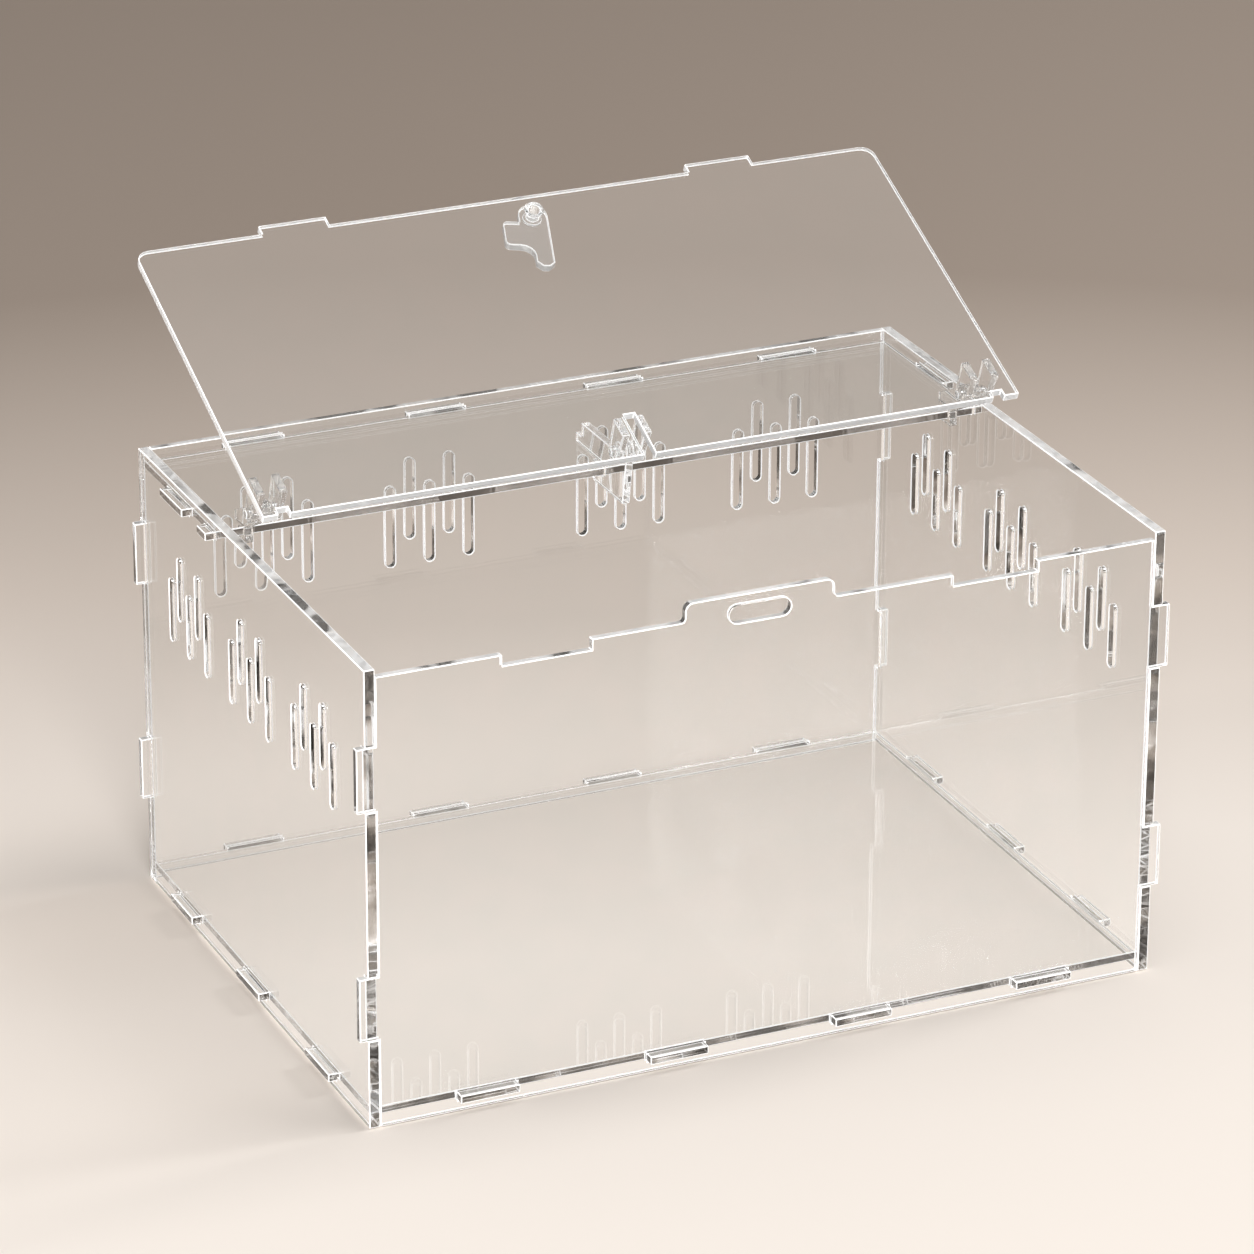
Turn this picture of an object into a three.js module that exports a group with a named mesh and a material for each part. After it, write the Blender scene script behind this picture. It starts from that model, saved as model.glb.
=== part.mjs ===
// Clear flat-pack insect terrarium box: laser-cut sheet panels locked by tabs in slots, a fixed strip
// over the rear of the top, and a lid that swings back on three pinned hinges and locks with a swivel latch.
// Millimetres, X to the right, Y to the rear, Z up. The box stands on z = 0, seen with its lid open.
import * as THREE from 'three';

// Overall size over the panels, without the tabs that stand out of them
const WIDTH = 300;
const DEPTH = 215;
const HEIGHT = 170;

// Sheet
const SIDE_SHEET = 4;
const SHEET = 3;

// Tab and slot joints
const TAB_LENGTH = 22;
const TALL_TAB_LENGTH = 23.6;
const TAB_STAND_OUT = 3;
const WIDE_TAB_INSET = 43.5;
const DEEP_TAB_INSET = 41;
const TALL_TAB_FOOT = 45;
const TALL_TAB_HEAD = 40;
const SLOT_CLEARANCE = 0.15;
const SLOT_CORNER = 0.2;
const BUTT_CLEARANCE = 0.1;
const WIDE_TAB_COUNT = 4;
const DEEP_TAB_COUNT = 3;
const TALL_TAB_COUNT = 2;

// Levels
const BASE_LIFT = 4;
const LID_RECESS = 3.8;
const FRONT_RECESS = 3;

// Vents: groups of upright slots, every second one raised
const VENT_WIDTH = 3.5;
const VENTS_PER_GROUP = 5;
const SIDE_VENT = { groups: 3, endInset: 48, pitch: 8.75, length: 24, rise: 11, rimDrop: 28 };
const REAR_VENT = { endInset: 48, pairSpacing: 63.5, pitch: 7.8, length: 28.5, rise: 10.2, rimDrop: 23 };

// Top strip
const STRIP_DEPTH = 72.5;
const STRIP_NOSE_TAB = 8.5;

// Front panel's top edge
const LID_TAB_INSET = 66;
const NOTCH_WIDTH = 32.6;
const LID_TAB_WIDTH = 26;
const TONGUE_OFFSET = -5.5;
const TONGUE_WIDTH = 56;
const TONGUE_RISE = 6.8;
const TONGUE_CORNER = 3;
const TONGUE_FILLET = 1.5;
const LATCH_SLOT_LENGTH = 23;
const LATCH_SLOT_HEIGHT = 6.5;
const LATCH_SLOT_ABOVE_LID = 3.6;

// Lid
const LID_OPEN_ANGLE = THREE.MathUtils.degToRad(156);
const LID_SIDE_GAP = 0.5;
const LID_FRONT_GAP = 1.2;
const LID_REAR_GAP = 0.4;
const LID_REST_GAP = 0.2;
const LID_CORNER = 5;

// Hinges: a bracket clipped on the strip, a pin, and two lugs cemented on the lid
const HINGE_END_INSET = 8;
const PIVOT_FORWARD = 16.6;
const PIVOT_RISE = 12;
const PIN_RADIUS = 1.5;
const PIN_END = 1;
const PIN_PRESS_CLEARANCE = 0.1;
const PIN_RUNNING_CLEARANCE = 0.25;
const HINGE_NOSE_RADIUS = 3.4;
const LUG_GAP = 1.2;
const LUG_FOOT = 9;
const BRACKET_SIDE_GAP = 0.6;
const BRACKET_LID_GAP = 0.8;
const CLIP_WALL = 2.5;
const NOSE_FROM = 240;
const NOSE_TO = 40;
const BRACKET_ARM_DROP = 3;
const BRACKET_STEP = 5;
const BRACKET_STEP_HEIGHT = 3.5;
const MAIN_BRACKET = { armReach: 25, jawReach: 10, jawDrop: 4.7, jawChamfer: 1.5 };
const END_BRACKET = { armReach: 8, jawReach: 5, jawDrop: 2, jawChamfer: 0.8 };

// Latch
const LATCH_PIVOT_INSET = 8.5;
const LATCH_PIVOT_FROM_SLOT = 11;
const LATCH_TURN = THREE.MathUtils.degToRad(15);
const LATCH_GAP = 0.2;
const LATCH_HEAD_RADIUS = 5.5;
const LATCH_LENGTH = 27;
const LATCH_LEG_WIDTH = 6.8;
const LATCH_TOE_CHAMFER = 2.2;
const BOLT_NEAR = 4;
const BOLT_FAR = 16.5;
const BOLT_ENGAGEMENT = 2;
const BOLT_CORNER = 2;
const BOLT_FILLET = 5;
const RIVET_RADIUS = 2;
const RIVET_HEAD_RADIUS = 3.6;
const RIVET_HEAD_HEIGHT = 1.8;
const RIVET_CLEARANCE = 0.25;

// Chords per quarter turn on round stretches
const ARC_STEPS = 4;

// Positions that follow from the sizes
const outerHalf = WIDTH / 2;
const innerHalf = outerHalf - SIDE_SHEET;
const sideFront = -DEPTH / 2;
const sideRear = DEPTH / 2;
const frontOuter = sideFront;
const frontInner = frontOuter + SHEET;
const rearOuter = sideRear;
const rearInner = rearOuter - SHEET;
const frontTop = HEIGHT - FRONT_RECESS;
const lidTop = HEIGHT - LID_RECESS;
const lidBottom = lidTop - SHEET;
const stripFront = rearInner - STRIP_DEPTH;
const lidFront = frontInner + LID_FRONT_GAP;
const lidRear = stripFront - LID_REAR_GAP;
const lidHalf = innerHalf - LID_SIDE_GAP;
const pivotY = stripFront - PIVOT_FORWARD;
const pivotZ = lidTop + PIVOT_RISE;
const hingeX = { left: HINGE_END_INSET - lidHalf, centre: 0, right: lidHalf - HINGE_END_INSET };
const clipFront = stripFront - SLOT_CLEARANCE - CLIP_WALL;
const lugOffset = SHEET + LUG_GAP;
const sideTabReach = BUTT_CLEARANCE + SIDE_SHEET + TAB_STAND_OUT;
const panelTabReach = BUTT_CLEARANCE + SHEET + TAB_STAND_OUT;
const wideTabs = evenly(WIDE_TAB_COUNT, WIDE_TAB_INSET - outerHalf, outerHalf - WIDE_TAB_INSET);
const deepTabs = evenly(DEEP_TAB_COUNT, sideFront + DEEP_TAB_INSET, sideRear - DEEP_TAB_INSET);
const tallTabs = evenly(TALL_TAB_COUNT, TALL_TAB_FOOT, HEIGHT - TALL_TAB_HEAD);
const stripTab = sideRear - DEEP_TAB_INSET;
const noseTab = stripFront + STRIP_NOSE_TAB / 2;
const lidTabs = [LID_TAB_INSET - outerHalf, outerHalf - LID_TAB_INSET];
const latchX = TONGUE_OFFSET + LATCH_PIVOT_FROM_SLOT;
const latchY = lidFront + LATCH_PIVOT_INSET;
const boltReach = LATCH_PIVOT_INSET + LID_FRONT_GAP + BOLT_ENGAGEMENT;

const box = new THREE.Group();
const lid = new THREE.Group();
lid.position.set(0, pivotY, pivotZ);
lid.rotation.x = -LID_OPEN_ANGLE;
box.add(lid);

function evenly(count, first, last) {
  return Array.from({ length: count }, (_, i) => first + ((last - first) * i) / (count - 1));
}

function point(x, y) {
  return new THREE.Vector2(x, y);
}

// Points on a round stretch, from one angle to another in degrees
function arc(cx, cy, radius, fromDegrees, toDegrees) {
  const steps = Math.max(2, Math.round((Math.abs(toDegrees - fromDegrees) / 90) * ARC_STEPS));
  return Array.from({ length: steps + 1 }, (_, i) => {
    const angle = THREE.MathUtils.degToRad(fromDegrees + ((toDegrees - fromDegrees) * i) / steps);
    return point(cx + radius * Math.cos(angle), cy + radius * Math.sin(angle));
  });
}

// One straight edge of an outline walked anticlockwise, with tabs standing out of it;
// a negative reach cuts notches into it instead
function edge(from, to, centres, length, reach) {
  const along = to.clone().sub(from).normalize();
  const outward = point(along.y, -along.x).multiplyScalar(reach);
  const start = from.dot(along);
  const stations = centres.map((c) => c * (along.x + along.y) - start).sort((a, b) => a - b);
  const at = (distance) => from.clone().addScaledVector(along, distance);
  const tabs = stations.flatMap((s) => {
    const near = at(s - length / 2);
    const far = at(s + length / 2);
    return [near, near.clone().add(outward), far.clone().add(outward), far];
  });
  return [from, ...tabs];
}

// Slot for a tab, with the cut's slightly blunted corners
function slotFor(cx, cy, width, height) {
  const w = width / 2 + SLOT_CLEARANCE;
  const h = height / 2 + SLOT_CLEARANCE;
  const b = SLOT_CORNER;
  return new THREE.Path([
    point(cx - w + b, cy - h),
    point(cx + w - b, cy - h),
    point(cx + w, cy - h + b),
    point(cx + w, cy + h - b),
    point(cx + w - b, cy + h),
    point(cx - w + b, cy + h),
    point(cx - w, cy + h - b),
    point(cx - w, cy - h + b),
  ]);
}

function uprightSlot(cx, low, high, width) {
  const r = width / 2;
  return new THREE.Path([...arc(cx, high - r, r, 0, 180), ...arc(cx, low + r, r, 180, 360)]);
}

function levelSlot(cx, cy, length, height) {
  const r = height / 2;
  const half = length / 2 - r;
  return new THREE.Path([...arc(cx + half, cy, r, -90, 90), ...arc(cx - half, cy, r, 90, 270)]);
}

function roundHole(cx, cy, radius) {
  return new THREE.Path(arc(cx, cy, radius, 0, 360).slice(1));
}

function ventGroup(centre, vent) {
  return Array.from({ length: VENTS_PER_GROUP }, (_, i) => {
    const raised = i % 2 === 1;
    const high = HEIGHT - vent.rimDrop - (raised ? 0 : vent.rise);
    const offset = (i - (VENTS_PER_GROUP - 1) / 2) * vent.pitch;
    return uprightSlot(centre + offset, high - vent.length, high, VENT_WIDTH);
  });
}

function acrylic(opacity) {
  return new THREE.MeshStandardMaterial({
    color: 0xeef3f4, roughness: 0.04, metalness: 0, transparent: true, opacity,
  });
}

function cutFrom(outline, holes, thickness) {
  const shape = new THREE.Shape(outline);
  shape.holes.push(...holes);
  return new THREE.ExtrudeGeometry(shape, { depth: thickness, bevelEnabled: false });
}

function piece(name, geometry, material, parent) {
  const mesh = new THREE.Mesh(geometry, material);
  mesh.name = name;
  parent.add(mesh);
  return mesh;
}

// Sheet lying flat: the drawing's x and y are X and Y
function flatPlate(name, outline, holes, bottom, parent) {
  const mesh = piece(name, cutFrom(outline, holes, SHEET), acrylic(0.3), parent);
  mesh.position.z = bottom;
  return mesh;
}

// Sheet facing front and rear: the drawing's x and y are X and Z
function frontPlate(name, outline, holes, rearFace) {
  const mesh = piece(name, cutFrom(outline, holes, SHEET), acrylic(0.3), box);
  mesh.rotation.x = Math.PI / 2;
  mesh.position.y = rearFace;
}

// Sheet facing left and right: the drawing's x and y are Y and Z
function sidePlate(name, outline, holes, leftFace, thickness, parent) {
  const mesh = piece(name, cutFrom(outline, holes, thickness), acrylic(0.3), parent);
  const axes = [new THREE.Vector3(0, 1, 0), new THREE.Vector3(0, 0, 1), new THREE.Vector3(1, 0, 0)];
  mesh.quaternion.setFromRotationMatrix(new THREE.Matrix4().makeBasis(...axes));
  mesh.position.x = leftFace;
  return mesh;
}

// The lid's pieces are drawn where they lie with the lid closed, then hung on the hinge axis
function onLid(mesh) {
  mesh.position.y -= pivotY;
  mesh.position.z -= pivotZ;
}

// Left and right panels: plain rectangles pierced by every tab that reaches them
function sidePanels() {
  const notch = TALL_TAB_LENGTH + 2 * SLOT_CLEARANCE;
  const notchDepth = SHEET + SLOT_CLEARANCE;
  const outline = [
    point(sideFront, 0),
    ...edge(point(sideRear, 0), point(sideRear, HEIGHT), tallTabs, notch, -notchDepth),
    point(sideRear, HEIGHT),
    ...edge(point(sideFront, HEIGHT), point(sideFront, 0), tallTabs, notch, -notchDepth),
  ];
  const first = sideFront + SIDE_VENT.endInset;
  const groups = evenly(SIDE_VENT.groups, first, -first);
  const holes = [
    ...deepTabs.map((y) => slotFor(y, BASE_LIFT + SHEET / 2, TAB_LENGTH, SHEET)),
    slotFor(stripTab, lidTop - SHEET / 2, TAB_LENGTH, SHEET),
    slotFor(noseTab, lidTop - SHEET / 2, STRIP_NOSE_TAB, SHEET),
    ...groups.flatMap((y) => ventGroup(y, SIDE_VENT)),
  ];
  sidePlate('left_panel', outline, holes, -outerHalf, SIDE_SHEET, box);
  sidePlate('right_panel', outline, holes, innerHalf, SIDE_SHEET, box);
}

const baseSlots = () => wideTabs.map((x) => slotFor(x, BASE_LIFT + SHEET / 2, TAB_LENGTH, SHEET));

// Front panel: notches for the lid's tabs, and a raised tongue with the slot that the latch turns into
function frontPanel() {
  const half = innerHalf - BUTT_CLEARANCE;
  const tongueTop = frontTop + TONGUE_RISE;
  const tongueLeft = TONGUE_OFFSET - TONGUE_WIDTH / 2;
  const tongueRight = TONGUE_OFFSET + TONGUE_WIDTH / 2;
  const r = TONGUE_CORNER;
  const f = TONGUE_FILLET;
  const tongue = [
    ...arc(tongueRight + f, frontTop + f, f, 270, 180),
    ...arc(tongueRight - r, tongueTop - r, r, 0, 90),
    ...arc(tongueLeft + r, tongueTop - r, r, 90, 180),
    ...arc(tongueLeft - f, frontTop + f, f, 0, -90),
  ];
  const notchReach = lidBottom - LID_REST_GAP - frontTop;
  const topRight = point(half, frontTop);
  const topLeft = point(-half, frontTop);
  const outline = [
    point(-half, 0),
    ...edge(point(half, 0), topRight, tallTabs, TALL_TAB_LENGTH, sideTabReach),
    ...edge(topRight, point(tongueRight, frontTop), [lidTabs[1]], NOTCH_WIDTH, notchReach),
    ...tongue,
    ...edge(point(tongueLeft - f, frontTop), topLeft, [lidTabs[0]], NOTCH_WIDTH, notchReach).slice(1),
    ...edge(topLeft, point(-half, 0), tallTabs, TALL_TAB_LENGTH, sideTabReach),
  ];
  const slotMiddle = lidTop + LATCH_SLOT_ABOVE_LID - LATCH_SLOT_HEIGHT / 2;
  const latchSlot = levelSlot(TONGUE_OFFSET, slotMiddle, LATCH_SLOT_LENGTH, LATCH_SLOT_HEIGHT);
  frontPlate('front_panel', outline, [...baseSlots(), latchSlot], frontInner);
}

// Rear panel: full height, with the strip's slots and two pairs of vent groups
function rearPanel() {
  const half = innerHalf - BUTT_CLEARANCE;
  const outline = [
    point(-half, 0),
    ...edge(point(half, 0), point(half, HEIGHT), tallTabs, TALL_TAB_LENGTH, sideTabReach),
    point(half, HEIGHT),
    ...edge(point(-half, HEIGHT), point(-half, 0), tallTabs, TALL_TAB_LENGTH, sideTabReach),
  ];
  const far = outerHalf - REAR_VENT.endInset;
  const near = far - REAR_VENT.pairSpacing;
  const holes = [
    ...baseSlots(),
    ...wideTabs.map((x) => slotFor(x, lidTop - SHEET / 2, TAB_LENGTH, SHEET)),
    ...[-far, -near, near, far].flatMap((x) => ventGroup(x, REAR_VENT)),
  ];
  frontPlate('rear_panel', outline, holes, rearOuter);
}

// Base panel: held off the floor by its tabs in all four walls
function basePanel() {
  const half = innerHalf - BUTT_CLEARANCE;
  const front = frontInner + BUTT_CLEARANCE;
  const rear = rearInner - BUTT_CLEARANCE;
  const outline = [
    ...edge(point(-half, front), point(half, front), wideTabs, TAB_LENGTH, panelTabReach),
    ...edge(point(half, front), point(half, rear), deepTabs, TAB_LENGTH, sideTabReach),
    ...edge(point(half, rear), point(-half, rear), wideTabs, TAB_LENGTH, panelTabReach),
    ...edge(point(-half, rear), point(-half, front), deepTabs, TAB_LENGTH, sideTabReach),
  ];
  flatPlate('base_panel', outline, [], BASE_LIFT, box);
}

// Top strip: the fixed rear part of the top, level with the closed lid
function topStrip() {
  const half = innerHalf - BUTT_CLEARANCE;
  const rear = rearInner - BUTT_CLEARANCE;
  const noseEnd = stripFront + STRIP_NOSE_TAB;
  const side = (sign) => [
    point(sign * (half + sideTabReach), stripFront),
    point(sign * (half + sideTabReach), noseEnd),
    point(sign * half, noseEnd),
  ];
  const outline = [
    ...side(1),
    ...edge(point(half, noseEnd), point(half, rear), [stripTab], TAB_LENGTH, sideTabReach).slice(1),
    ...edge(point(half, rear), point(-half, rear), wideTabs, TAB_LENGTH, panelTabReach),
    ...edge(point(-half, rear), point(-half, noseEnd), [stripTab], TAB_LENGTH, sideTabReach),
    ...side(-1).reverse(),
  ];
  flatPlate('top_strip', outline, [], lidBottom, box);
}

// Lid panel: front tabs for the notches, rear notches round the brackets, and the rivet's hole
function lidPanel() {
  const r = LID_CORNER;
  const bracketNotch = SHEET + 2 * BRACKET_SIDE_GAP;
  const mainNotch = lidRear - (pivotY - HINGE_NOSE_RADIUS - BRACKET_LID_GAP);
  const endNotch = lidRear - (clipFront - BRACKET_LID_GAP);
  const frontLeft = point(r - lidHalf, lidFront);
  const frontRight = point(lidHalf - r, lidFront);
  const rearLeft = point(-lidHalf, lidRear);
  const rearRight = point(lidHalf, lidRear);
  const outline = [
    ...arc(frontLeft.x, lidFront + r, r, 180, 270),
    ...edge(frontLeft, frontRight, lidTabs, LID_TAB_WIDTH, lidFront - frontOuter).slice(1),
    ...arc(frontRight.x, lidFront + r, r, 270, 360),
    ...edge(rearRight, rearLeft, [hingeX.right], bracketNotch, -endNotch),
    ...edge(rearRight, rearLeft, [hingeX.centre], bracketNotch, -mainNotch).slice(1),
    ...edge(rearRight, rearLeft, [hingeX.left], bracketNotch, -endNotch).slice(1),
    rearLeft,
  ];
  const rivetHole = roundHole(latchX, latchY, RIVET_RADIUS + RIVET_CLEARANCE / 2);
  onLid(flatPlate('lid_panel', outline, [rivetHole], lidBottom, lid));
}

// A bracket's grip on the strip's front edge, from the end of its arm to the underside of its jaw
function grip(bracket) {
  const slotTop = lidTop + SLOT_CLEARANCE;
  const slotBottom = lidBottom - SLOT_CLEARANCE;
  const throat = stripFront - SLOT_CLEARANCE;
  const armEnd = stripFront + bracket.armReach;
  const jawEnd = stripFront + bracket.jawReach;
  const bottom = slotBottom - bracket.jawDrop;
  const c = bracket.jawChamfer;
  return [
    point(armEnd, slotTop + BRACKET_STEP_HEIGHT),
    point(armEnd, slotTop),
    point(throat, slotTop),
    point(throat, slotBottom),
    point(jawEnd, slotBottom),
    point(jawEnd, bottom + c),
    point(jawEnd - c, bottom),
  ];
}

function bracketPlate(place, outline) {
  const bore = roundHole(pivotY, pivotZ, PIN_RADIUS + PIN_PRESS_CLEARANCE);
  sidePlate(`hinge_bracket_${place}`, outline.reverse(), [bore], hingeX[place] - SHEET / 2, SHEET, box);
}

// Middle bracket: a deep upright plate with a stepped arm and a full-length jaw
function mainBracket() {
  const clip = grip(MAIN_BRACKET);
  const stepY = clip[0].x - BRACKET_STEP;
  const shoulder = THREE.MathUtils.radToDeg(Math.asin(-BRACKET_ARM_DROP / HINGE_NOSE_RADIUS));
  bracketPlate('centre', [
    ...clip,
    point(pivotY, clip.at(-1).y),
    ...arc(pivotY, pivotZ, HINGE_NOSE_RADIUS, 180, shoulder),
    point(stepY, pivotZ - BRACKET_ARM_DROP),
    point(stepY, clip[0].y),
  ]);
}

// End bracket: a small clip whose nose reaches forward over the closed lid
function endBracket(place) {
  const clip = grip(END_BRACKET);
  bracketPlate(place, [
    ...clip,
    point(clipFront, clip.at(-1).y),
    point(clipFront, lidTop + BRACKET_LID_GAP),
    ...arc(pivotY, pivotZ, HINGE_NOSE_RADIUS, NOSE_FROM, NOSE_TO),
  ]);
}

// Hinge lugs: a pair of slim fingers cemented on the lid on either side of a bracket
function hingeLugs(place) {
  const foot = lidTop + BUTT_CLEARANCE;
  const outline = [
    point(pivotY - LUG_FOOT / 2, foot),
    point(pivotY + LUG_FOOT / 2, foot),
    ...arc(pivotY, pivotZ, HINGE_NOSE_RADIUS, 0, 180),
  ];
  const bore = roundHole(pivotY, pivotZ, PIN_RADIUS + PIN_RUNNING_CLEARANCE);
  for (const [side, sign] of [['left', -1], ['right', 1]]) {
    const leftFace = hingeX[place] + sign * lugOffset - SHEET / 2;
    onLid(sidePlate(`hinge_lug_${place}_${side}`, outline, [bore], leftFace, SHEET, lid));
  }
}

// Hinge pin: fixed in its bracket, with the lugs turning on its ends
function hingePin(place) {
  const length = 2 * (lugOffset + SHEET / 2 + PIN_END);
  const geometry = new THREE.CylinderGeometry(PIN_RADIUS, PIN_RADIUS, length, 6 * ARC_STEPS);
  const mesh = piece(`hinge_pin_${place}`, geometry, acrylic(0.5), box);
  mesh.rotation.z = Math.PI / 2;
  mesh.position.set(hingeX[place], pivotY, pivotZ);
}

// Latch: a thumb leg to turn it by, and a bolt beside its pivot that swings through the tongue's slot
function latch() {
  const head = LATCH_HEAD_RADIUS;
  const legLeft = head - LATCH_LEG_WIDTH;
  const c = LATCH_TOE_CHAMFER;
  const r = BOLT_CORNER;
  const outline = [
    point(head, LATCH_LENGTH - c),
    point(head - c, LATCH_LENGTH),
    point(legLeft + c, LATCH_LENGTH),
    point(legLeft, LATCH_LENGTH - c),
    ...arc(legLeft - BOLT_FILLET, BOLT_FAR + BOLT_FILLET, BOLT_FILLET, 0, -90),
    ...arc(r - boltReach, BOLT_FAR - r, r, 90, 180),
    ...arc(r - boltReach, BOLT_NEAR + r, r, 180, 270),
    point(-head, BOLT_NEAR),
    ...arc(0, 0, head, 180, 360),
  ];
  const bore = roundHole(0, 0, RIVET_RADIUS + RIVET_CLEARANCE);
  const mesh = flatPlate('latch', outline, [bore], lidTop + LATCH_GAP, lid);
  mesh.position.x = latchX;
  mesh.position.y = latchY;
  mesh.rotation.z = LATCH_TURN;
  onLid(mesh);
}

// Latch rivet: its shank fills the lid's hole, its heads trap the latch against the lid
function latchRivet() {
  const under = -SHEET - LATCH_GAP;
  const over = LATCH_GAP + SHEET + LATCH_GAP;
  const headEdge = RIVET_HEAD_HEIGHT / 2;
  const profile = [
    point(0, under - RIVET_HEAD_HEIGHT),
    point(RIVET_HEAD_RADIUS - headEdge, under - RIVET_HEAD_HEIGHT),
    point(RIVET_HEAD_RADIUS, under - headEdge),
    point(RIVET_HEAD_RADIUS, under),
    point(RIVET_RADIUS, under),
    point(RIVET_RADIUS, over),
    point(RIVET_HEAD_RADIUS, over),
    point(RIVET_HEAD_RADIUS, over + headEdge),
    point(RIVET_HEAD_RADIUS - headEdge, over + RIVET_HEAD_HEIGHT),
    point(0, over + RIVET_HEAD_HEIGHT),
  ];
  const geometry = new THREE.LatheGeometry(profile, 6 * ARC_STEPS);
  const mesh = piece('latch_rivet', geometry, acrylic(0.5), lid);
  mesh.rotation.x = Math.PI / 2;
  mesh.position.set(latchX, latchY, lidTop);
  onLid(mesh);
}

sidePanels();
frontPanel();
rearPanel();
basePanel();
topStrip();
lidPanel();
mainBracket();
endBracket('left');
endBracket('right');
for (const place of Object.keys(hingeX)) {
  hingeLugs(place);
  hingePin(place);
}
latch();
latchRivet();

// The origin is on the floor, under the middle of the whole object's bounding box
const reach = new THREE.Box3().setFromObject(box, true);
box.position.y = -(reach.min.y + reach.max.y) / 2;

export default box;
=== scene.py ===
# %% [markdown]
# An insect terrarium box of clear acrylic sheet
#
# The real box is cut by laser from flat clear sheet: four walls, a floor, a fixed strip
# and a lid, pushed together with tabs and slots. Nearly all that the eye sees of it is
# its cut edges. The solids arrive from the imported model, and this lesson gives them
# eased edges, clear materials, a floor, soft light and a camera.

from collections import defaultdict
from math import radians

import bpy
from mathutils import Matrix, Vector


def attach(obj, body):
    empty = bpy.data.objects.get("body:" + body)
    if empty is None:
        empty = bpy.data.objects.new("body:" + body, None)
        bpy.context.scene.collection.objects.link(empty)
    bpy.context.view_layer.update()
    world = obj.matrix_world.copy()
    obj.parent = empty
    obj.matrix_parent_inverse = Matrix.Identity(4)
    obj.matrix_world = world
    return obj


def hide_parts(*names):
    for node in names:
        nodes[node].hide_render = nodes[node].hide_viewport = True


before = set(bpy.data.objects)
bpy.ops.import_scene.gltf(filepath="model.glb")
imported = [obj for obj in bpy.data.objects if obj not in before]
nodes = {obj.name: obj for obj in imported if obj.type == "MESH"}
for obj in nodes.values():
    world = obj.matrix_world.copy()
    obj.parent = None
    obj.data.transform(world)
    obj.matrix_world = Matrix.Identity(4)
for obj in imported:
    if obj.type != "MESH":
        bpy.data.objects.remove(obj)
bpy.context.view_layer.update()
scene = bpy.context.scene

# %% [markdown]
# The camera
#
# A long lens from two metres away keeps the upright edges of the box almost parallel, as
# a catalogue picture does. The place and the angles come from matching the corners of the
# box with the picture, so they are written as plain numbers.

# %% Camera
camera_data = bpy.data.cameras.new("picture_camera")
camera_data.sensor_fit = "HORIZONTAL"
camera_data.sensor_width = 36.0
camera_data.lens = 177.04
camera = bpy.data.objects.new("picture_camera", camera_data)
camera.location = (-0.83525, -1.83520, 0.99221)
camera.rotation_euler = (radians(66.472), radians(-0.260), radians(-24.267))
scene.collection.objects.link(camera)
scene.camera = camera
print("camera lens:", camera_data.lens)

# %% [markdown]
# Small helpers for node trees
#
# Every material below is a handful of nodes. One helper adds a node and sets its inputs
# by name, one makes a colour ramp from its stops, and one joins an output to an input.
# With them, each cell reads as a list of what a surface does.


# %% Node helpers
def add_node(tree, kind, **inputs):
    node = tree.nodes.new(kind)
    for name, value in inputs.items():
        node.inputs[name.replace("_", " ")].default_value = value
    return node


def ramp_of(tree, stops):
    ramp = tree.nodes.new("ShaderNodeValToRGB")
    elements = ramp.color_ramp.elements
    while len(elements) < len(stops):
        elements.new(0.5)
    for element, (place, colour) in zip(elements, stops):
        element.position = place
        element.color = (*colour, 1.0)
    return ramp


def wire(tree, source, output, target, socket):
    tree.links.new(source.outputs[output], target.inputs[socket])


print("node helpers ready")

# %% [markdown]
# The floor
#
# The picture has one smooth sweep of warm paper, pale in front of the box and darker
# beyond it, without a horizon. A wide disc does the same work, with that fall-off of light
# painted into its colour. It lies a hair below the box, so the two never share a plane,
# and it is a real surface that receives the shadow.

# %% Floor disc
FLOOR_RADIUS = 7.0
FLOOR_DROP = 0.0004

bpy.ops.object.select_all(action="DESELECT")
bpy.ops.mesh.primitive_circle_add(vertices=96, radius=FLOOR_RADIUS, fill_type="NGON")
floor = bpy.context.active_object
floor.name = "floor"
floor.location.z = -FLOOR_DROP
print("floor radius:", FLOOR_RADIUS)

# %% [markdown]
# Where the paper is light
#
# The colour of the paper is a painted pool of light: it changes with the distance from a
# light spot in front of the box.
# A distance has no direction, so the floor looks even from every side. The nodes below
# measure it and turn it into a number from 0 at the spot to 1 at the end of the fade.

# %% Distance from the light spot
LIGHT_SPOT = (-0.14, -0.40, 0.0)
FADE_LENGTH = 1.4

paper = bpy.data.materials.new("warm_paper")
paper.use_nodes = True
paper_tree = paper.node_tree
floor_place = add_node(paper_tree, "ShaderNodeTexCoord")
shift = add_node(paper_tree, "ShaderNodeMapping", Location=[-value for value in LIGHT_SPOT])
distance = add_node(paper_tree, "ShaderNodeVectorMath")
distance.operation = "LENGTH"
fade = add_node(paper_tree, "ShaderNodeMapRange", From_Max=FADE_LENGTH)
wire(paper_tree, floor_place, "Object", shift, "Vector")
wire(paper_tree, shift, "Vector", distance, 0)
wire(paper_tree, distance, "Value", fade, "Value")
print("fade from", LIGHT_SPOT, "over", FADE_LENGTH, "m")

# %% [markdown]
# The skin of the paper
#
# Studio paper is matt, with a fine tooth that breaks up what little it mirrors. The tooth
# is a very small bump, and the colour is a ramp along the fade: a painted pool of light,
# pale near the spot and darker far away.

# %% Paper skin
# Painted light: pale paper near the light spot, painted darker towards the far end.
PAPER_NEAR = (0.900, 0.824, 0.755)
PAPER_MIDDLE = (0.700, 0.610, 0.538)
PAPER_FAR = (0.388, 0.319, 0.268)

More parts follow.
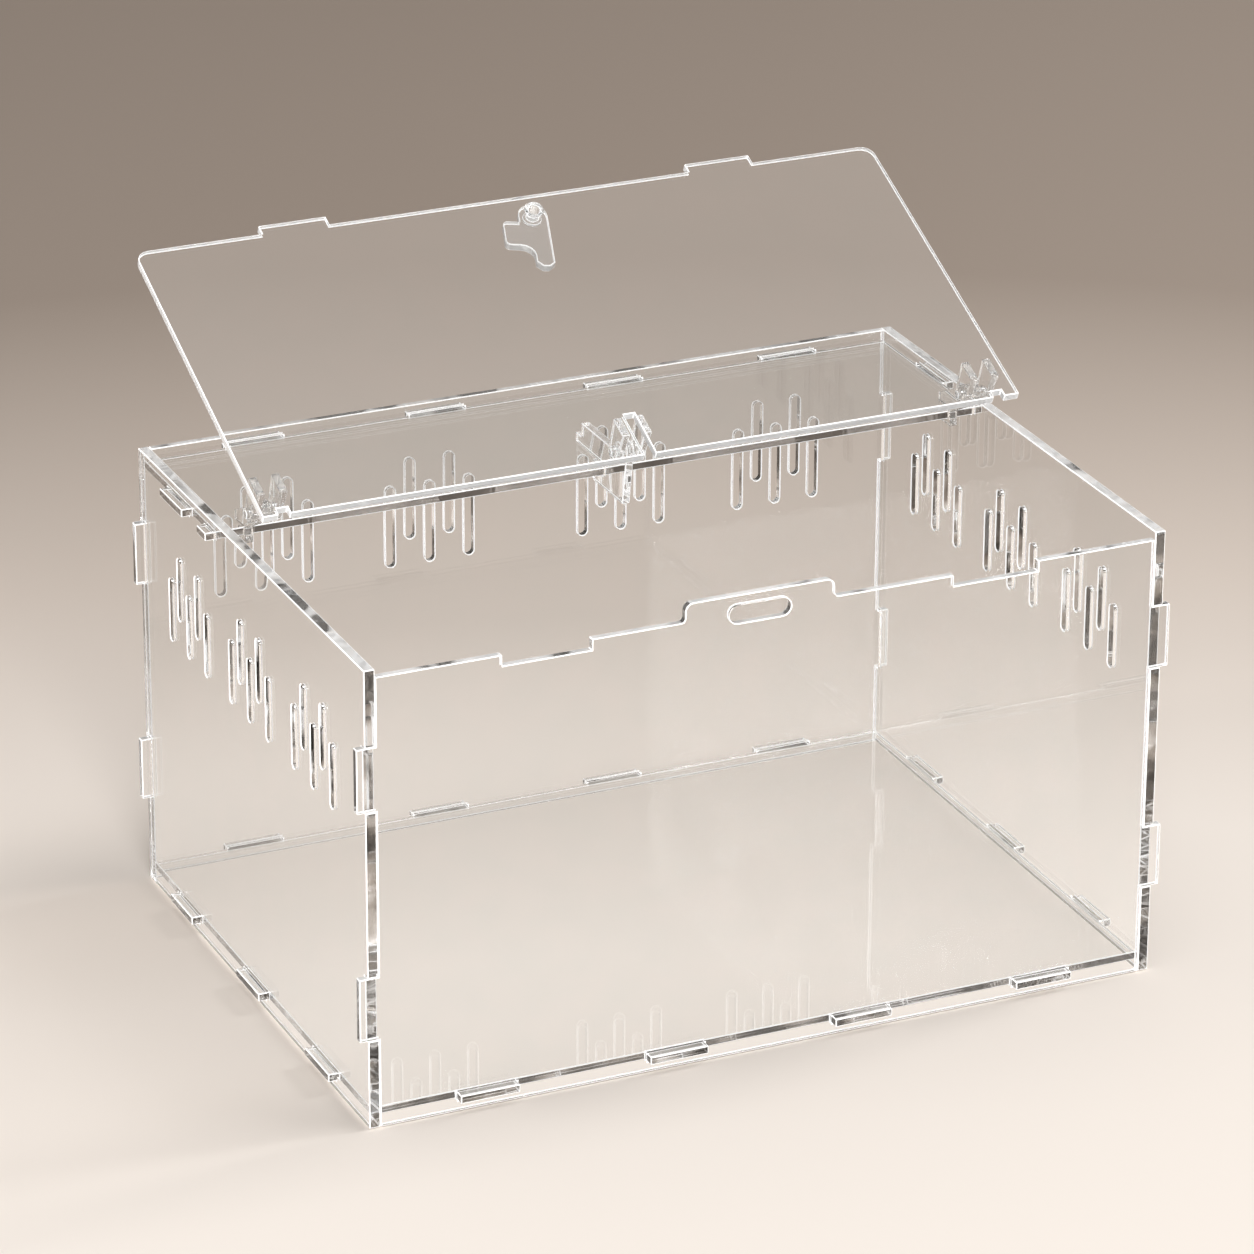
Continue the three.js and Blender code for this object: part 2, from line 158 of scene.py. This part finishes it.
painted_light_pool = ramp_of(
    paper_tree,
    [(0.0, PAPER_NEAR), (0.38, PAPER_NEAR), (0.55, PAPER_MIDDLE), (0.79, PAPER_FAR)],
)
grain = add_node(paper_tree, "ShaderNodeTexNoise", Scale=900.0, Detail=2.0)
tooth = add_node(paper_tree, "ShaderNodeBump", Strength=0.04, Distance=0.0002)
paper_skin = paper_tree.nodes["Principled BSDF"]
paper_skin.inputs["Roughness"].default_value = 0.85
paper_skin.inputs["Specular IOR Level"].default_value = 0.1
wire(paper_tree, fade, "Result", painted_light_pool, "Fac")
wire(paper_tree, painted_light_pool, "Color", paper_skin, "Base Color")
wire(paper_tree, floor_place, "Object", grain, "Vector")
wire(paper_tree, grain, "Fac", tooth, "Height")
wire(paper_tree, tooth, "Normal", paper_skin, "Normal")
print("paper from", PAPER_NEAR, "to", PAPER_FAR)

# %% [markdown]
# The paper behind the sheets
#
# Every face that light crosses costs a little of it, and behind a dozen faces the paper
# would turn grey. So a ray that has come through a sheet sees mostly a plain glow, whose
# ramp paints the same pool of light, and only a quarter of the lit paper with its shadows.

# %% Paper seen through acrylic
SEEN_MIDDLE = (0.470, 0.410, 0.362)
SEEN_FAR = (0.345, 0.285, 0.241)
GLOW_STRENGTH = 1.18
GLOW_SHARE = 0.75

glow_colour = ramp_of(paper_tree, [(0.28, PAPER_NEAR), (0.50, SEEN_MIDDLE), (0.80, SEEN_FAR)])
glow = add_node(paper_tree, "ShaderNodeEmission", Strength=GLOW_STRENGTH)
floor_path = add_node(paper_tree, "ShaderNodeLightPath")
glow_share = add_node(paper_tree, "ShaderNodeMapRange", To_Max=GLOW_SHARE)
paper_mix = add_node(paper_tree, "ShaderNodeMixShader")
wire(paper_tree, fade, "Result", glow_colour, "Fac")
wire(paper_tree, glow_colour, "Color", glow, "Color")
wire(paper_tree, floor_path, "Is Transmission Ray", glow_share, "Value")
wire(paper_tree, glow_share, "Result", paper_mix, "Fac")
wire(paper_tree, paper_skin, "BSDF", paper_mix, 1)
wire(paper_tree, glow, "Emission", paper_mix, 2)
wire(paper_tree, paper_mix, "Shader", paper_tree.nodes["Material Output"], "Surface")
floor.data.materials.append(paper)
print("share of glow through the sheets:", GLOW_SHARE)

# %% [markdown]
# The surroundings
#
# Clear plastic shows what is around it, so the surroundings are built as a photographer
# would: brown walls low down, a dark flag above them and a white ceiling. The cut edges
# bend towards all three and pick up their streaks. The bands run level all the way round,
# because a flat face that mirrored the end of a card would show it as a false line.

# %% Bands of the dome
WALL_BROWN = (0.36, 0.32, 0.28)
FLAG_DARK = (0.06, 0.055, 0.05)
CEILING_PALE = (0.62, 0.61, 0.60)
CEILING_WHITE = (1.0, 1.0, 1.0)

world = bpy.data.worlds.new("studio_dome")
scene.world = world
world.use_nodes = True
dome_tree = world.node_tree
dome_place = add_node(dome_tree, "ShaderNodeTexCoord")
dome_axes = add_node(dome_tree, "ShaderNodeSeparateXYZ")
bands = ramp_of(
    dome_tree,
    [
        (0.0, WALL_BROWN),
        (0.52, WALL_BROWN),
        (0.58, FLAG_DARK),
        (0.74, FLAG_DARK),
        (0.80, CEILING_PALE),
        (0.95, CEILING_PALE),
        (1.0, CEILING_WHITE),
    ],
)
wire(dome_tree, dome_place, "Generated", dome_axes, "Vector")
wire(dome_tree, dome_axes, "Z", bands, "Fac")
print("dome bands:", len(bands.color_ramp.elements))

# %% [markdown]
# Two kinds of dome light
#
# Only rays that were mirrored or bent see the bands. Everything else gets a weak even
# light from all sides, which lifts the shadows.

# %% Dome
BAND_STRENGTH = 0.95
EVEN_STRENGTH = 0.22

mirrored_dome = add_node(dome_tree, "ShaderNodeBackground", Strength=BAND_STRENGTH)
even_dome = dome_tree.nodes["Background"]
even_dome.inputs["Color"].default_value = (0.80, 0.78, 0.76, 1.0)
even_dome.inputs["Strength"].default_value = EVEN_STRENGTH
dome_path = add_node(dome_tree, "ShaderNodeLightPath")
mirrored_or_bent = add_node(dome_tree, "ShaderNodeMath")
mirrored_or_bent.operation = "MAXIMUM"
dome_mix = add_node(dome_tree, "ShaderNodeMixShader")
wire(dome_tree, bands, "Color", mirrored_dome, "Color")
wire(dome_tree, dome_path, "Is Glossy Ray", mirrored_or_bent, 0)
wire(dome_tree, dome_path, "Is Transmission Ray", mirrored_or_bent, 1)
wire(dome_tree, mirrored_or_bent, "Value", dome_mix, "Fac")
wire(dome_tree, even_dome, "Background", dome_mix, 1)
wire(dome_tree, mirrored_dome, "Background", dome_mix, 2)
wire(dome_tree, dome_mix, "Shader", dome_tree.nodes["World Output"], "Surface")
print("dome strength:", EVEN_STRENGTH)

# %% [markdown]
# The lamps
#
# Five soft lamps do the lighting, because lamp light can pass through the sheets and
# reach every edge. The one at the right throws the long soft shadows to the left, and the
# high one the short shadow beside the left wall. The other three only fill. All but the
# first are kept out of mirrored rays, so no flat face shows them as a bright patch.


# %% Lamps
def soft_lamp(name, place, aim, size, power, mirrored):
    data = bpy.data.lights.new(name, "AREA")
    data.shape = "RECTANGLE"
    data.size, data.size_y = size
    data.energy = power
    lamp = bpy.data.objects.new(name, data)
    lamp.location = place
    lamp.rotation_euler = (Vector(aim) - Vector(place)).to_track_quat("-Z", "Y").to_euler()
    lamp.visible_glossy = mirrored
    scene.collection.objects.link(lamp)
    print("lamp", name, "power", power)


soft_lamp("right_softbox", (2.20, -0.1, 1.90), (0.0, 0.0, 0.1), (0.9, 0.9), 33.0, True)
soft_lamp("high_softbox", (0.8, -0.5, 2.3), (0.0, 0.0, 0.1), (0.8, 0.8), 13.0, False)
soft_lamp("overhead_softbox", (-0.45, -0.75, 2.20), (0.0, 0.0, 0.1), (1.4, 1.4), 5.0, False)
soft_lamp("left_card", (-1.80, 0.10, 0.50), (0.0, 0.0, 0.1), (0.8, 0.7), 13.0, False)
soft_lamp("front_fill", (-0.75, -2.30, 0.95), (0.0, 0.0, 0.12), (0.9, 0.9), 44.0, False)

# %% [markdown]
# Marks on clear acrylic
#
# Cast sheet is the clearest of plastics, yet the real thing shows a little: a faint tint,
# a few fine scuffs, and faint ripples from casting. On the cuts the tint noise carries
# painted light and shade instead: dark, brown and white streaks that stand in for what the
# cuts mirror and bend. Each of the three is one noise texture in object coordinates, so
# it stays on the piece when the piece moves.

# %% Tint, scuffs and ripples
CLOUD_SCALE = 55.0
RIPPLE_HEIGHT = 0.001


def add_tint_and_painted_light(tree, place, plastic, stops):
    cloud = add_node(tree, "ShaderNodeTexNoise", Scale=CLOUD_SCALE, Detail=2.0)
    tint = ramp_of(tree, stops)
    wire(tree, place, "Object", cloud, "Vector")
    wire(tree, cloud, "Fac", tint, "Fac")
    wire(tree, tint, "Color", plastic, "Base Color")


def add_scuffs(tree, place, plastic, least, most, scale):
    marks = add_node(tree, "ShaderNodeTexNoise", Scale=scale, Detail=3.0)
    gloss = add_node(tree, "ShaderNodeMapRange", To_Min=least, To_Max=most)
    wire(tree, place, "Object", marks, "Vector")
    wire(tree, marks, "Fac", gloss, "Value")
    wire(tree, gloss, "Result", plastic, "Roughness")


def add_ripples(tree, place, plastic, strength, scale):
    swell = add_node(tree, "ShaderNodeTexNoise", Scale=scale, Detail=2.0)
    bump = add_node(tree, "ShaderNodeBump", Strength=strength, Distance=RIPPLE_HEIGHT)
    wire(tree, place, "Object", swell, "Vector")
    wire(tree, swell, "Fac", bump, "Height")
    wire(tree, bump, "Normal", plastic, "Normal")


print("cloud scale:", CLOUD_SCALE)

# %% [markdown]
# Letting lamp light through
#
# Path tracing seldom finds a lamp through a bent ray, and would leave the box in a dark
# shadow. So shadow rays meet a Transparent shader, which passes most of the light
# straight on. A sheet that is struck at a slant mirrors more and passes less. The ramp
# below does the same, and it is what draws the soft shadows beside the walls.

# %% Lamp light in the sheets
SLANT_LOSS = ((0.45, 1.0), (0.75, 0.66), (0.93, 0.14))


def pass_lamp_light(tree, plastic, passed):
    path = add_node(tree, "ShaderNodeLightPath")
    slant = add_node(tree, "ShaderNodeLayerWeight", Blend=0.5)
    stops = [(slope, [share * value for value in passed]) for slope, share in SLANT_LOSS]
    dimmer = ramp_of(tree, stops)
    through = add_node(tree, "ShaderNodeBsdfTransparent")
    mix = add_node(tree, "ShaderNodeMixShader")
    wire(tree, slant, "Facing", dimmer, "Fac")
    wire(tree, dimmer, "Color", through, "Color")
    wire(tree, path, "Is Shadow Ray", mix, "Fac")
    wire(tree, plastic, "BSDF", mix, 1)
    wire(tree, through, "BSDF", mix, 2)
    wire(tree, mix, "Shader", tree.nodes["Material Output"], "Surface")


print("steps of slant:", len(SLANT_LOSS))

# %% [markdown]
# One clear material
#
# All finishes of the box are the same plastic, so one function makes them, and each
# finish below says only how it differs. The share of clear is what goes through the
# surface as in glass. The rest scatters at the surface, as on a milky cut.

# %% Clear material
ACRYLIC_INDEX = 1.49


# For the cut finishes, the tint stops are painted light and shade: painted streaks, paler painted-lit
# rims and painted highlights.
def clear_material(name, tints, clear_share, scuffs, ripples, passed):
    """A clear plastic from its tint stops, its share of clear, the (least, most, scale) of
    its scuffs, the (strength, scale) of its ripples, and the lamp light each face passes."""
    material = bpy.data.materials.new(name)
    material.use_nodes = True
    tree = material.node_tree
    plastic = tree.nodes["Principled BSDF"]
    plastic.inputs["IOR"].default_value = ACRYLIC_INDEX
    plastic.inputs["Transmission Weight"].default_value = clear_share
    place = add_node(tree, "ShaderNodeTexCoord")
    add_tint_and_painted_light(tree, place, plastic, tints)
    add_scuffs(tree, place, plastic, *scuffs)
    add_ripples(tree, place, plastic, *ripples)
    pass_lamp_light(tree, plastic, passed)
    print("material", name, "clear", clear_share)
    return material


# %% [markdown]
# The faces
#
# The flat faces keep the polish of the cast sheet. They are almost perfectly clear, with
# a trace of blue-green and hardly any scuffs. The latch is handled more, so its face is a
# little milky. The hinge pins and the rivet are turned from clear rod, with finer ripples.

# %% Face finishes
WHITE = (1.0, 1.0, 1.0)

sheet_face = clear_material(
    "acrylic_sheet_face",
    tints=[(0.35, (0.985, 0.993, 0.993)), (0.65, WHITE)],
    clear_share=1.0,
    scuffs=(0.0, 0.012, 700.0),
    ripples=(0.001, 14.0),
    passed=(0.93, 0.915, 0.90),
)
latch_face = clear_material(
    "acrylic_latch_face",
    tints=[(0.35, (0.96, 0.965, 0.97)), (0.65, WHITE)],
    clear_share=0.94,
    scuffs=(0.0, 0.02, 700.0),
    ripples=(0.002, 40.0),
    passed=(0.90, 0.895, 0.89),
)
rod_face = clear_material(
    "acrylic_rod",
    tints=[(0.35, (0.96, 0.975, 0.98)), (0.65, WHITE)],
    clear_share=0.96,
    scuffs=(0.0, 0.02, 500.0),
    ripples=(0.003, 120.0),
    passed=(0.90, 0.895, 0.89),
)

# %% [markdown]
# The cuts of the walls
#
# A laser leaves a polished cut, and one looks through it along the sheet. The picture
# shows a row of dark, brown and white stretches there, the shade and light that the cut
# bends and mirrors. Sharp steps in the tint paint them on, as painted shade and painted
# reflections.
# A cut that faces up, along the rim of a wall, catches the light from above. That light
# is painted into its tints: it is paler and a little milky, with only a few dark stretches
# left.

# %% Wall cuts
cut_edge_painted_streaks = clear_material(
    "acrylic_cut_edge",
    tints=[
        (0.40, (0.06, 0.055, 0.05)),
        (0.45, (0.42, 0.39, 0.36)),
        (0.50, (0.50, 0.47, 0.44)),
        (0.55, (0.98, 0.985, 0.99)),
    ],
    clear_share=0.97,
    scuffs=(0.0, 0.012, 500.0),
    ripples=(0.0015, 30.0),
    passed=(0.60, 0.58, 0.56),
)
rim_edge_painted_lit = clear_material(
    "acrylic_rim_edge",
    tints=[
        (0.39, (0.12, 0.12, 0.12)),
        (0.43, (0.70, 0.70, 0.70)),
        (0.50, (0.98, 0.985, 0.99)),
    ],
    clear_share=0.45,
    scuffs=(0.0, 0.012, 500.0),
    ripples=(0.0015, 30.0),
    passed=(0.60, 0.58, 0.56),
)

# %% [markdown]
# The cuts of the level sheets
#
# The floor panel lies low, where its cuts look into the shade, so they are painted darker
# than those of the walls. The front cut of the fixed strip lies under the lid and looks
# into the brown walls, and that reflection is painted on as a brown band. The lid stands
# free in the light, and its cuts are milky, with a painted highlight that makes them bright.

# %% Floor panel, strip and lid cuts
base_edge_painted_shade = clear_material(
    "acrylic_base_edge",
    tints=[
        (0.43, (0.05, 0.046, 0.042)),
        (0.50, (0.27, 0.25, 0.23)),
        (0.56, (0.44, 0.41, 0.38)),
        (0.62, (0.95, 0.955, 0.96)),
    ],
    clear_share=0.90,
    scuffs=(0.0, 0.012, 500.0),
    ripples=(0.0015, 30.0),
    passed=(0.60, 0.58, 0.56),
)
strip_edge_painted_reflection = clear_material(
    "acrylic_strip_edge",
    tints=[(0.40, (0.17, 0.145, 0.125)), (0.60, (0.26, 0.225, 0.195))],
    clear_share=0.45,
    scuffs=(0.0, 0.012, 500.0),
    ripples=(0.0015, 30.0),
    passed=(0.60, 0.58, 0.56),
)
lid_edge_painted_highlight = clear_material(
    "acrylic_lid_edge",
    tints=[(0.35, (0.92, 0.92, 0.92)), (0.60, WHITE)],
    clear_share=0.30,
    scuffs=(0.0, 0.03, 500.0),
    ripples=(0.0015, 30.0),
    passed=(0.70, 0.69, 0.68),
)

# %% [markdown]
# The cuts of the hinges
#
# The hinge pieces are so small that little light is lost on the way through them, and
# their cuts stay almost clear.

# %% Hinge cuts
hinge_edge = clear_material(
    "acrylic_hinge_edge",
    tints=[(0.35, (0.88, 0.88, 0.88)), (0.60, WHITE)],
    clear_share=0.92,
    scuffs=(0.0, 0.012, 500.0),
    ripples=(0.0015, 60.0),
    passed=(0.80, 0.79, 0.78),
)

# %% [markdown]
# The eased edges
#
# Light that enters a clear sheet runs along inside it and leaves where the edge is
# rounded, which is why the outlines of such a box look lit. Caustics are off, so this light
# is painted on: a weak white glow of its own, on a white frosted surface that stands in
# for the highlight.

# %% Outline finish
OUTLINE_GLOW = 0.38

eased_edge_painted_glow = clear_material(
    "acrylic_eased_edge",
    tints=[(0.35, (0.975, 0.985, 0.99)), (0.65, WHITE)],
    clear_share=0.05,
    scuffs=(0.02, 0.12, 600.0),
    ripples=(0.02, 500.0),
    passed=(0.70, 0.69, 0.68),
)
eased_plastic = eased_edge_painted_glow.node_tree.nodes["Principled BSDF"]
eased_plastic.inputs["Emission Color"].default_value = (*WHITE, 1.0)
eased_plastic.inputs["Emission Strength"].default_value = OUTLINE_GLOW
print("outline glow:", OUTLINE_GLOW)

# %% [markdown]
# A clean copy of a solid
#
# The solids arrive as triangles. Each one is copied, doubled points are merged, and the
# triangles are joined into whole faces, so that a bevel later runs along real edges only.


# %% Working on one copy
def only(piece):
    bpy.ops.object.select_all(action="DESELECT")
    piece.select_set(True)
    bpy.context.view_layer.objects.active = piece


def copy_of(node):
    mesh = nodes[node].data.copy()
    mesh.materials.clear()
    piece = bpy.data.objects.new(node + "_clear", mesh)
    scene.collection.objects.link(piece)
    return piece


def join_triangles(piece):
    only(piece)
    bpy.ops.object.mode_set(mode="EDIT")
    bpy.ops.mesh.select_all(action="SELECT")
    bpy.ops.mesh.customdata_custom_splitnormals_clear()
    bpy.ops.mesh.remove_doubles(threshold=0.0003)
    bpy.ops.mesh.dissolve_limited(angle_limit=radians(0.5))
    bpy.ops.object.mode_set(mode="OBJECT")


print("solids to copy:", len(nodes))

# %% [markdown]
# Easing the edges
#
# A sharp corner in a model never catches light. On the real sheets the laser leaves a
# tiny round along every cut, and that is the white line in the picture. The sharp edges
# are bevelled by a third of a millimetre, and the new faces take the outline finish, the
# third material of each piece, whose white and glow are a painted highlight. Weighted
# normals keep the large faces perfectly flat.

# %% Eased edges
EASE = 0.00036
SHARP = radians(60.0)
SMOOTH = radians(50.0)
FACE, CUT, OUTLINE, RIM = range(4)


def ease_edges(piece, width):
    only(piece)
    bpy.ops.object.mode_set(mode="EDIT")
    bpy.ops.mesh.select_mode(type="EDGE")
    bpy.ops.mesh.select_all(action="DESELECT")
    bpy.ops.mesh.edges_select_sharp(sharpness=SHARP)
    bpy.ops.mesh.bevel(offset=width, segments=2, affect="EDGES", clamp_overlap=False, material=OUTLINE)
    bpy.ops.object.mode_set(mode="OBJECT")
    bpy.ops.object.shade_smooth_by_angle(angle=SMOOTH)
    bpy.ops.object.modifier_add(type="WEIGHTED_NORMAL")
    weighted = piece.modifiers[-1]
    weighted.weight = 100
    weighted.keep_sharp = True
    bpy.ops.object.modifier_apply(modifier=weighted.name)


print("edges are eased by", EASE * 1000, "mm")

# %% [markdown]
# From solid to finished sheet
#
# The direction with the most area is the flat of the sheet, so faces along it are the
# polished faces and all the others are cuts. A cut that faces up is part of a rim and
# takes the rim finish, which on the walls is painted paler as if lit from above. The
# finished piece rides on its body and stands for its solid.


# %% Finished sheet
def widest_normal(piece):
    areas = defaultdict(float)
    for polygon in piece.data.polygons:
        areas[tuple(round(value, 3) for value in polygon.normal)] += polygon.area
    return Vector(max(areas, key=areas.get))


def sort_faces(piece):
    flat = widest_normal(piece)
    for polygon in piece.data.polygons:
        if abs(polygon.normal.dot(flat)) > 0.9:
            polygon.material_index = FACE
        elif polygon.normal.z < 0.9:
            polygon.material_index = CUT
        else:
            polygon.material_index = RIM


def finish_sheet(node, body, face=sheet_face, cut=cut_edge_painted_streaks, outline=eased_edge_painted_glow, rim=rim_edge_painted_lit):
    piece = copy_of(node)
    join_triangles(piece)
    for material in (face, cut, outline, rim):
        piece.data.materials.append(material)
    sort_faces(piece)
    ease_edges(piece, EASE)
    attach(piece, body)
    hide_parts(node)
    print(piece.name, "faces:", len(piece.data.polygons))


# %% [markdown]
# The sheets of the box
#
# Four walls, the floor panel and the top strip stay with the box. The lid has a body of
# its own, because it swings on the hinges.

# %% Panels
for panel in ("left_panel", "right_panel", "front_panel", "rear_panel"):
    finish_sheet(panel, "box")
finish_sheet("base_panel", "box", cut=base_edge_painted_shade)
finish_sheet("top_strip", "box", cut=strip_edge_painted_reflection)
finish_sheet("lid_panel", "lid", cut=lid_edge_painted_highlight, rim=lid_edge_painted_highlight)

# %% [markdown]
# Round pieces
#
# A pin or a rivet is round, so it has no flat side to tell from a cut. It keeps one
# material all over, and only its rims are eased, a little finer than on a sheet.

# %% Finished rod
ROD_EASE = EASE * 0.6


def finish_rod(node, body):
    piece = copy_of(node)
    join_triangles(piece)
    for material in (rod_face, rod_face, eased_edge_painted_glow):
        piece.data.materials.append(material)
    ease_edges(piece, ROD_EASE)
    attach(piece, body)
    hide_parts(node)
    print(piece.name, "faces:", len(piece.data.polygons))


# %% [markdown]
# The hinges
#
# Each hinge is cut from the same sheet: a bracket standing on the strip, two lugs on the
# lid on either side of it, and a short clear rod through all three. In the picture only
# the large middle one is outlined, and the small end ones nearly vanish, so their edges
# stay clear.

# %% Hinges
for side, outline in (("left", hinge_edge), ("centre", eased_edge_painted_glow), ("right", hinge_edge)):
    look = {"cut": hinge_edge, "rim": hinge_edge, "outline": outline}
    finish_sheet("hinge_bracket_" + side, "box", **look)
    finish_sheet("hinge_lug_" + side + "_left", "lid", **look)
    finish_sheet("hinge_lug_" + side + "_right", "lid", **look)
    finish_rod("hinge_pin_" + side, "box")

# %% [markdown]
# The latch
#
# A small hook of sheet turns on a rivet near the free edge of the lid. Closed, it swings
# through the slot in the tongue of the front wall.

# %% Latch
# The latch cuts take the lid's painted highlight.
finish_sheet("latch", "latch", face=latch_face, cut=lid_edge_painted_highlight, rim=lid_edge_painted_highlight)
finish_rod("latch_rivet", "lid")

# %% [markdown]
# Last settings
#
# Light has to cross a dozen faces before it leaves the box, so the number of bounces is
# raised. The plain view transform shows colours as they are written.

# %% Finish
scene.cycles.max_bounces = 64
scene.cycles.transmission_bounces = 64
scene.cycles.glossy_bounces = 64
scene.cycles.transparent_max_bounces = 48
scene.cycles.caustics_refractive = False
scene.cycles.caustics_reflective = False
scene.view_settings.view_transform = "Standard"
